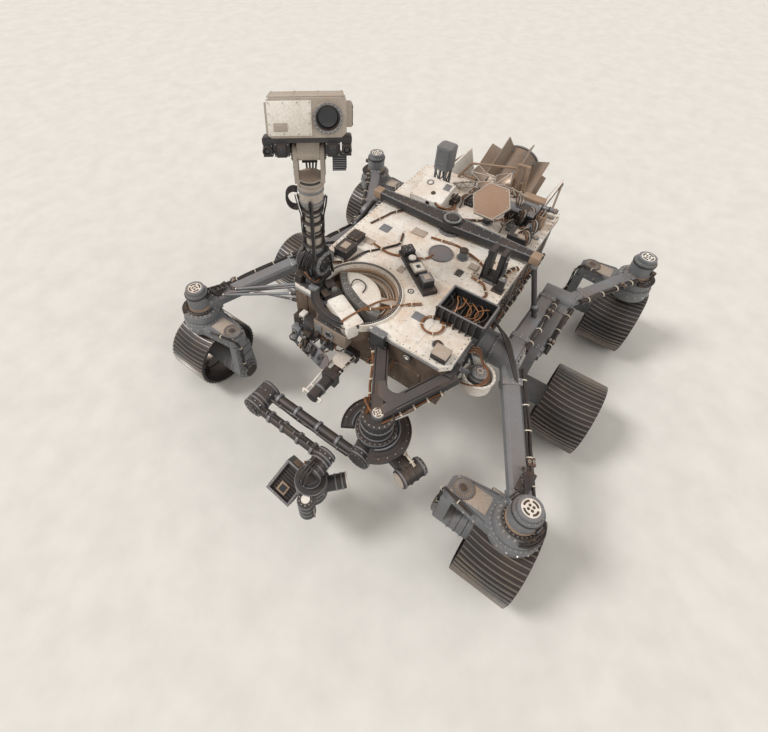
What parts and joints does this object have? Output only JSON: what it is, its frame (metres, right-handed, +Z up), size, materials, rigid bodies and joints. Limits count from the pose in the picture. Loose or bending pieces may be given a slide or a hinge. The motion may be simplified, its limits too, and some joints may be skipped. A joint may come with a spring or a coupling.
{
  "type": "six-wheeled planetary rover",
  "caption": "Six-wheeled planetary rover with rocker suspension, steered corner wheels, camera mast, folded tool arm, antennas and a finned power source.",
  "frame": {"origin": "on the ground at the middle of the whole rover's length and width", "axes": "+X forward, +Y to the rover's left, +Z up"},
  "size_m": [3.237, 2.7, 2.2178],
  "materials": {
    "painted": "satin",
    "aluminium_grey": "satin",
    "aluminium_dark": "satin",
    "white": "matte",
    "brown": "matte"
  },
  "bodies": {
    "body": {"antenna_post": "aluminium_dark", "arm_base": "aluminium_dark", "arm_bracket": "aluminium_dark", "belly_pan": "aluminium_grey", "body_box": "aluminium_grey", "bogie_left": "aluminium_grey", "bogie_right": "aluminium_grey", "deck": "white", "deck_boxes": "aluminium_dark", "deck_fork": "aluminium_dark", "deck_plate": "aluminium_dark", "deck_rail": "aluminium_dark", "differential_bar": "aluminium_grey", "fin_box": "aluminium_dark", "front_post": "aluminium_dark", "heat_panel_left": "white", "heat_panel_right": "white", "mast_base": "aluminium_dark", "mast_tube": "aluminium_grey", "port_carousel": "white", "post_antenna": "aluminium_grey", "power_cradle": "aluminium_dark", "power_source": "white", "rear_box": "white", "rocker_left": "aluminium_grey", "rocker_right": "aluminium_grey", "side_canister": "painted", "steering_motor_left_front": "aluminium_grey", "steering_motor_left_rear": "aluminium_grey", "steering_motor_right_front": "aluminium_grey", "steering_motor_right_rear": "aluminium_grey"},
    "mast_neck": {"mast_neck": "aluminium_grey"},
    "mast_head": {"mast_head": "painted", "head_cameras": "aluminium_dark"},
    "antenna_yoke": {"antenna_yoke": "aluminium_dark"},
    "antenna_plate": {"antenna_plate": "brown"},
    "arm_shoulder": {"arm_shoulder": "aluminium_dark"},
    "arm_upper": {"arm_upper": "aluminium_dark"},
    "arm_fore": {"arm_fore": "aluminium_dark"},
    "arm_wrist": {"arm_wrist": "aluminium_dark"},
    "arm_turret": {"arm_turret": "aluminium_dark"},
    "wheel_left_front": {"wheel_left_front": "aluminium_dark"},
    "knuckle_left_front": {"knuckle_left_front": "aluminium_grey"},
    "wheel_left_middle": {"wheel_left_middle": "aluminium_dark"},
    "wheel_left_rear": {"wheel_left_rear": "aluminium_dark"},
    "knuckle_left_rear": {"knuckle_left_rear": "aluminium_grey"},
    "wheel_right_front": {"wheel_right_front": "aluminium_dark"},
    "knuckle_right_front": {"knuckle_right_front": "aluminium_grey"},
    "wheel_right_middle": {"wheel_right_middle": "aluminium_dark"},
    "wheel_right_rear": {"wheel_right_rear": "aluminium_dark"},
    "knuckle_right_rear": {"knuckle_right_rear": "aluminium_grey"}
  },
  "joints": [
    {"name": "mast_pan", "type": "hinge", "parent": "body", "child": "mast_neck", "pos_m": [0.57172, -0.478, 1.745], "axis": [0, 0, 1], "range_deg": [-219, 141]},
    {"name": "mast_tilt", "type": "hinge", "parent": "mast_neck", "child": "mast_head", "pos_m": [0.57172, -0.478, 1.945], "axis": [0.6293, -0.7771, 0], "range_deg": [-103, 75]},
    {"name": "antenna_turn", "type": "hinge", "parent": "body", "child": "antenna_yoke", "pos_m": [-0.51828, 0.165, 1.12], "axis": [0, 0, 1], "range_deg": [-180, 180]},
    {"name": "antenna_tilt", "type": "hinge", "parent": "antenna_yoke", "child": "antenna_plate", "pos_m": [-0.51828, 0.165, 1.274], "axis": [0, 1, 0], "range_deg": [-34, 56]},
    {"name": "arm_azimuth", "type": "hinge", "parent": "body", "child": "arm_shoulder", "pos_m": [1.06172, 0.34, 0.88], "axis": [0, 0, 1], "range_deg": [0, 80]},
    {"name": "arm_elevation", "type": "hinge", "parent": "arm_shoulder", "child": "arm_upper", "pos_m": [1.06172, 0.34, 0.636], "axis": [-1, 0, 0], "range_deg": [0, 90]},
    {"name": "arm_elbow", "type": "hinge", "parent": "arm_upper", "child": "arm_fore", "pos_m": [1.06172, -0.36, 0.636], "axis": [1, 0, 0], "range_deg": [0, 150]},
    {"name": "arm_wrist", "type": "hinge", "parent": "arm_fore", "child": "arm_wrist", "pos_m": [1.36262, 0.18, 0.636], "axis": [1, 0, 0], "range_deg": [0, 90]},
    {"name": "arm_turret", "type": "hinge", "parent": "arm_wrist", "child": "arm_turret", "pos_m": [1.45862, 0.18, 0.574], "axis": [0, 0, 1], "range_deg": [-175, 175]},
    {"name": "steer_left_front", "type": "hinge", "parent": "body", "child": "knuckle_left_front", "pos_m": [1.02172, 1.185, 0.64], "axis": [0, 0, 1], "range_deg": [-95, 95]},
    {"name": "roll_left_front", "type": "hinge", "parent": "knuckle_left_front", "child": "wheel_left_front", "pos_m": [1.02172, 1.185, 0.2625], "axis": [0, 1, 0], "continuous": true},
    {"name": "roll_left_middle", "type": "hinge", "parent": "body", "child": "wheel_left_middle", "pos_m": [-0.07828, 1.185, 0.2625], "axis": [0, 1, 0], "continuous": true},
    {"name": "steer_left_rear", "type": "hinge", "parent": "body", "child": "knuckle_left_rear", "pos_m": [-1.15828, 1.185, 0.64], "axis": [0, 0, 1], "range_deg": [-95, 95]},
    {"name": "roll_left_rear", "type": "hinge", "parent": "knuckle_left_rear", "child": "wheel_left_rear", "pos_m": [-1.15828, 1.185, 0.2625], "axis": [0, 1, 0], "continuous": true},
    {"name": "steer_right_front", "type": "hinge", "parent": "body", "child": "knuckle_right_front", "pos_m": [1.02172, -1.185, 0.64], "axis": [0, 0, 1], "range_deg": [-95, 95]},
    {"name": "roll_right_front", "type": "hinge", "parent": "knuckle_right_front", "child": "wheel_right_front", "pos_m": [1.02172, -1.185, 0.2625], "axis": [0, 1, 0], "continuous": true},
    {"name": "roll_right_middle", "type": "hinge", "parent": "body", "child": "wheel_right_middle", "pos_m": [-0.07828, -1.185, 0.2625], "axis": [0, 1, 0], "continuous": true},
    {"name": "steer_right_rear", "type": "hinge", "parent": "body", "child": "knuckle_right_rear", "pos_m": [-1.15828, -1.185, 0.64], "axis": [0, 0, 1], "range_deg": [-95, 95]},
    {"name": "roll_right_rear", "type": "hinge", "parent": "knuckle_right_rear", "child": "wheel_right_rear", "pos_m": [-1.15828, -1.185, 0.2625], "axis": [0, 1, 0], "continuous": true}
  ]
}
